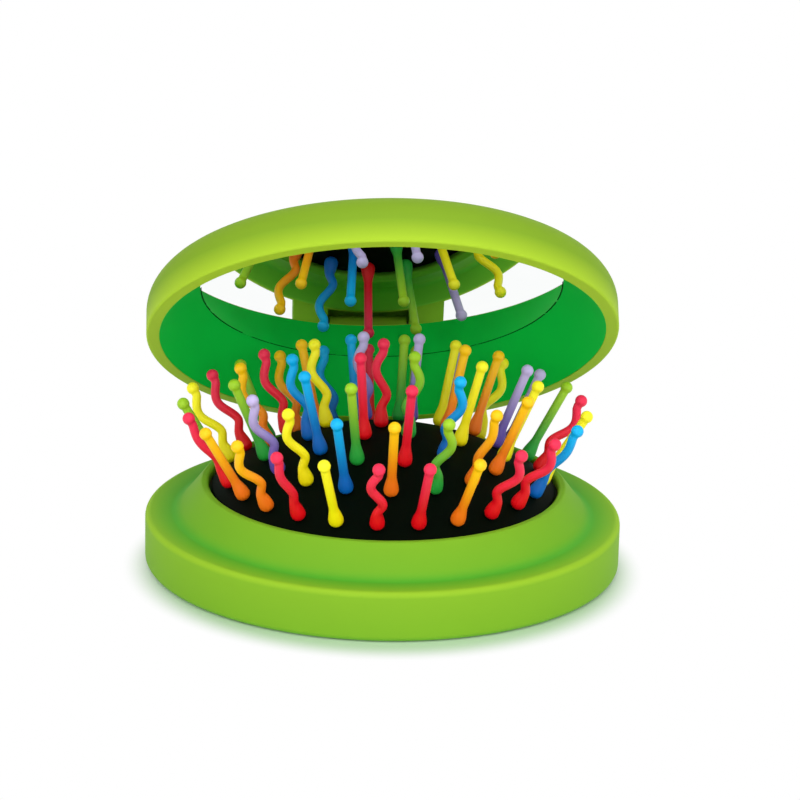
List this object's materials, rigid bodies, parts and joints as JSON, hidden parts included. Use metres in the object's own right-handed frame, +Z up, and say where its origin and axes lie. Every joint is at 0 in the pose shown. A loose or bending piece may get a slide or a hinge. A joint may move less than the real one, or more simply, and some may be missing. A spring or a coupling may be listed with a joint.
{
  "type": "pocket styling brush",
  "caption": "Round pocket hair brush: a hinged lid with a mirror closes over a black pop-up cushion of coloured, ball-tipped, straight and wavy bristles.",
  "frame": {"origin": "centre of the base's flat underside, on the axis of the round case", "axes": "+Z up, hinge at +Y, front of the lid at -Y, X along the hinge pin"},
  "size_m": [0.07, 0.0757, 0.0574],
  "materials": {
    "case_green": "soft matte lime green",
    "liner_green": "deep green, smooth",
    "mirror": "polished flat mirror",
    "tape": "foam tape",
    "plate_black": "fine grain black",
    "cushion_rubber": "matte black rubber",
    "pin_steel": "drawn wire",
    "bristle_red": "satin, paler towards the tip",
    "bristle_orange": "satin, paler towards the tip",
    "bristle_yellow": "satin",
    "bristle_green": "satin, paler towards the tip",
    "bristle_blue": "satin, paler towards the tip",
    "bristle_purple": "satin, paler towards the tip"
  },
  "bodies": {
    "base": {"base_shell": "case_green", "base_collar": "case_green", "base_ring": "case_green"},
    "hinge_pin": {"hinge_pin": "pin_steel"},
    "lid": {"lid_shell": "case_green", "lid_liner": "liner_green", "mirror": "mirror", "mirror_tape": "tape"},
    "carrier": {"push_plate": "plate_black", "cushion": "cushion_rubber"},
    "crown_bristles_01": {"crown_bristles_01": "bristle_red"},
    "inner_bristles_01": {"inner_bristles_01": "bristle_purple"},
    "inner_bristles_02": {"inner_bristles_02": "bristle_blue"},
    "inner_bristles_03": {"inner_bristles_03": "bristle_green"},
    "inner_bristles_04": {"inner_bristles_04": "bristle_blue"},
    "inner_bristles_05": {"inner_bristles_05": "bristle_orange"},
    "middle_bristles_01": {"middle_bristles_01": "bristle_blue"},
    "middle_bristles_02": {"middle_bristles_02": "bristle_red"},
    "middle_bristles_03": {"middle_bristles_03": "bristle_green"},
    "middle_bristles_04": {"middle_bristles_04": "bristle_yellow"},
    "middle_bristles_05": {"middle_bristles_05": "bristle_orange"},
    "middle_bristles_06": {"middle_bristles_06": "bristle_orange"},
    "middle_bristles_07": {"middle_bristles_07": "bristle_yellow"},
    "middle_bristles_08": {"middle_bristles_08": "bristle_orange"},
    "outer_bristles_01": {"outer_bristles_01": "bristle_blue"},
    "outer_bristles_02": {"outer_bristles_02": "bristle_green"},
    "outer_bristles_03": {"outer_bristles_03": "bristle_yellow"},
    "outer_bristles_04": {"outer_bristles_04": "bristle_red"},
    "outer_bristles_05": {"outer_bristles_05": "bristle_orange"},
    "outer_bristles_06": {"outer_bristles_06": "bristle_yellow"},
    "outer_bristles_07": {"outer_bristles_07": "bristle_red"},
    "outer_bristles_08": {"outer_bristles_08": "bristle_red"},
    "outer_bristles_09": {"outer_bristles_09": "bristle_blue"},
    "outer_bristles_10": {"outer_bristles_10": "bristle_red"},
    "outer_bristles_11": {"outer_bristles_11": "bristle_purple"},
    "outer_bristles_12": {"outer_bristles_12": "bristle_purple"}
  },
  "joints": [
    {"name": "lid_open", "type": "hinge", "parent": "base", "child": "hinge_pin", "pos_m": [0, 0.0385, 0.006], "axis": [-1, 0, 0], "range_deg": [0, 87]},
    {"name": "lid_close", "type": "hinge", "parent": "hinge_pin", "child": "lid", "pos_m": [0, 0.0385, 0.006], "axis": [-1, 0, 0], "range_deg": [-38.5, 0]},
    {"name": "cushion_pop", "type": "slide", "parent": "base", "child": "carrier", "axis": [0, 0, 1], "range_m": [-0.00945, 0], "deforming": ["cushion"]},
    {"name": "crown_bristles_01_drop", "type": "slide", "parent": "carrier", "child": "crown_bristles_01", "axis": [0, 0, 1], "range_m": [-0.00809, 0]},
    {"name": "inner_bristles_01_swing", "type": "hinge", "parent": "carrier", "child": "inner_bristles_01", "pos_m": [-0.019, 0.03292, 0.01445], "axis": [0.866, 0.5, 0], "range_deg": [0, 14.35]},
    {"name": "inner_bristles_02_swing", "type": "hinge", "parent": "carrier", "child": "inner_bristles_02", "pos_m": [-0.03718, -0.0079, 0.01445], "axis": [-0.2079, 0.9781, 0], "range_deg": [0, 14.35]},
    {"name": "inner_bristles_03_swing", "type": "hinge", "parent": "carrier", "child": "inner_bristles_03", "pos_m": [-0.00397, -0.0378, 0.01445], "axis": [-0.9945, 0.1045, 0], "range_deg": [0, 14.35]},
    {"name": "inner_bristles_04_swing", "type": "hinge", "parent": "carrier", "child": "inner_bristles_04", "pos_m": [0.03472, -0.01546, 0.01445], "axis": [-0.4067, -0.9135, 0], "range_deg": [0, 14.35]},
    {"name": "inner_bristles_05_swing", "type": "hinge", "parent": "carrier", "child": "inner_bristles_05", "pos_m": [0.02543, 0.02825, 0.01445], "axis": [0.7431, -0.6691, 0], "range_deg": [0, 14.35]},
    {"name": "middle_bristles_01_swing", "type": "hinge", "parent": "carrier", "child": "middle_bristles_01", "pos_m": [-0.0105, 0.02709, 0.01329], "axis": [0.9324, 0.3614, 0], "range_deg": [0, 23.16]},
    {"name": "middle_bristles_02_swing", "type": "hinge", "parent": "carrier", "child": "middle_bristles_02", "pos_m": [-0.02601, 0.01295, 0.01329], "axis": [0.4456, 0.8953, 0], "range_deg": [0, 23.16]},
    {"name": "middle_bristles_03_swing", "type": "hinge", "parent": "carrier", "child": "middle_bristles_03", "pos_m": [-0.02795, -0.00796, 0.01329], "axis": [-0.2739, 0.9618, 0], "range_deg": [0, 23.16]},
    {"name": "middle_bristles_04_swing", "type": "hinge", "parent": "carrier", "child": "middle_bristles_04", "pos_m": [-0.01529, -0.02471, 0.01329], "axis": [-0.8503, 0.5263, 0], "range_deg": [0, 23.16]},
    {"name": "middle_bristles_05_swing", "type": "hinge", "parent": "carrier", "child": "middle_bristles_05", "pos_m": [0.00534, -0.02856, 0.01329], "axis": [-0.9829, -0.184, 0], "range_deg": [0, 23.16]},
    {"name": "middle_bristles_06_swing", "type": "hinge", "parent": "carrier", "child": "middle_bristles_06", "pos_m": [0.02319, -0.01751, 0.01329], "axis": [-0.6025, -0.7981, 0], "range_deg": [0, 23.16]},
    {"name": "middle_bristles_07_swing", "type": "hinge", "parent": "carrier", "child": "middle_bristles_07", "pos_m": [0.02893, 0.00269, 0.01329], "axis": [0.0925, -0.9957, 0], "range_deg": [0, 23.16]},
    {"name": "middle_bristles_08_swing", "type": "hinge", "parent": "carrier", "child": "middle_bristles_08", "pos_m": [0.01472, 0.02378, 0.01341], "axis": [0.8503, -0.5263, 0], "range_deg": [0, 23.16]},
    {"name": "outer_bristles_01_swing", "type": "hinge", "parent": "carrier", "child": "outer_bristles_01", "pos_m": [-0.01061, 0.02452, 0.01171], "axis": [0.9178, 0.3971, 0], "range_deg": [0, 31.51]},
    {"name": "outer_bristles_02_swing", "type": "hinge", "parent": "carrier", "child": "outer_bristles_02", "pos_m": [-0.02111, 0.01638, 0.01171], "axis": [0.6129, 0.7902, 0], "range_deg": [0, 31.51]},
    {"name": "outer_bristles_03_swing", "type": "hinge", "parent": "carrier", "child": "outer_bristles_03", "pos_m": [-0.02639, 0.00418, 0.01171], "axis": [0.1564, 0.9877, 0], "range_deg": [0, 31.51]},
    {"name": "outer_bristles_04_swing", "type": "hinge", "parent": "carrier", "child": "outer_bristles_04", "pos_m": [-0.02514, -0.00905, 0.01171], "axis": [-0.3387, 0.9409, 0], "range_deg": [0, 31.51]},
    {"name": "outer_bristles_05_swing", "type": "hinge", "parent": "carrier", "child": "outer_bristles_05", "pos_m": [-0.01767, -0.02004, 0.01171], "axis": [-0.7501, 0.6613, 0], "range_deg": [0, 31.51]},
    {"name": "outer_bristles_06_swing", "type": "hinge", "parent": "carrier", "child": "outer_bristles_06", "pos_m": [-0.00583, -0.02608, 0.01171], "axis": [-0.9759, 0.2181, 0], "range_deg": [0, 31.51]},
    {"name": "outer_bristles_07_swing", "type": "hinge", "parent": "carrier", "child": "outer_bristles_07", "pos_m": [0.00745, -0.02566, 0.01171], "axis": [-0.9603, -0.279, 0], "range_deg": [0, 31.51]},
    {"name": "outer_bristles_08_swing", "type": "hinge", "parent": "carrier", "child": "outer_bristles_08", "pos_m": [0.01889, -0.01889, 0.01171], "axis": [-0.7071, -0.7071, 0], "range_deg": [0, 31.51]},
    {"name": "outer_bristles_09_swing", "type": "hinge", "parent": "carrier", "child": "outer_bristles_09", "pos_m": [0.02566, -0.00745, 0.01171], "axis": [-0.279, -0.9603, 0], "range_deg": [0, 31.51]},
    {"name": "outer_bristles_10_swing", "type": "hinge", "parent": "carrier", "child": "outer_bristles_10", "pos_m": [0.02608, 0.00583, 0.01171], "axis": [0.2181, -0.9759, 0], "range_deg": [0, 31.51]},
    {"name": "outer_bristles_11_swing", "type": "hinge", "parent": "carrier", "child": "outer_bristles_11", "pos_m": [0.02004, 0.01767, 0.01171], "axis": [0.6613, -0.7501, 0], "range_deg": [0, 31.51]},
    {"name": "outer_bristles_12_swing", "type": "hinge", "parent": "carrier", "child": "outer_bristles_12", "pos_m": [0.00567, 0.02535, 0.01184], "axis": [0.9759, -0.2181, 0], "range_deg": [0, 31.51]}
  ],
  "couplings": [
    {"joint": "lid_close", "follows": "cushion_pop", "rad_per_m": 71.106},
    {"joint": "crown_bristles_01_drop", "follows": "cushion_pop", "ratio": 0.85589},
    {"joint": "inner_bristles_01_swing", "follows": "cushion_pop", "rad_per_m": -26.497},
    {"joint": "inner_bristles_02_swing", "follows": "cushion_pop", "rad_per_m": -26.497},
    {"joint": "inner_bristles_03_swing", "follows": "cushion_pop", "rad_per_m": -26.497},
    {"joint": "inner_bristles_04_swing", "follows": "cushion_pop", "rad_per_m": -26.497},
    {"joint": "inner_bristles_05_swing", "follows": "cushion_pop", "rad_per_m": -26.497},
    {"joint": "middle_bristles_01_swing", "follows": "cushion_pop", "rad_per_m": -42.768},
    {"joint": "middle_bristles_02_swing", "follows": "cushion_pop", "rad_per_m": -42.768},
    {"joint": "middle_bristles_03_swing", "follows": "cushion_pop", "rad_per_m": -42.768},
    {"joint": "middle_bristles_04_swing", "follows": "cushion_pop", "rad_per_m": -42.768},
    {"joint": "middle_bristles_05_swing", "follows": "cushion_pop", "rad_per_m": -42.768},
    {"joint": "middle_bristles_06_swing", "follows": "cushion_pop", "rad_per_m": -42.768},
    {"joint": "middle_bristles_07_swing", "follows": "cushion_pop", "rad_per_m": -42.768},
    {"joint": "middle_bristles_08_swing", "follows": "cushion_pop", "rad_per_m": -42.768},
    {"joint": "outer_bristles_01_swing", "follows": "cushion_pop", "rad_per_m": -58.19},
    {"joint": "outer_bristles_02_swing", "follows": "cushion_pop", "rad_per_m": -58.19},
    {"joint": "outer_bristles_03_swing", "follows": "cushion_pop", "rad_per_m": -58.19},
    {"joint": "outer_bristles_04_swing", "follows": "cushion_pop", "rad_per_m": -58.19},
    {"joint": "outer_bristles_05_swing", "follows": "cushion_pop", "rad_per_m": -58.19},
    {"joint": "outer_bristles_06_swing", "follows": "cushion_pop", "rad_per_m": -58.19},
    {"joint": "outer_bristles_07_swing", "follows": "cushion_pop", "rad_per_m": -58.19},
    {"joint": "outer_bristles_08_swing", "follows": "cushion_pop", "rad_per_m": -58.19},
    {"joint": "outer_bristles_09_swing", "follows": "cushion_pop", "rad_per_m": -58.19},
    {"joint": "outer_bristles_10_swing", "follows": "cushion_pop", "rad_per_m": -58.19},
    {"joint": "outer_bristles_11_swing", "follows": "cushion_pop", "rad_per_m": -58.19},
    {"joint": "outer_bristles_12_swing", "follows": "cushion_pop", "rad_per_m": -58.19}
  ]
}
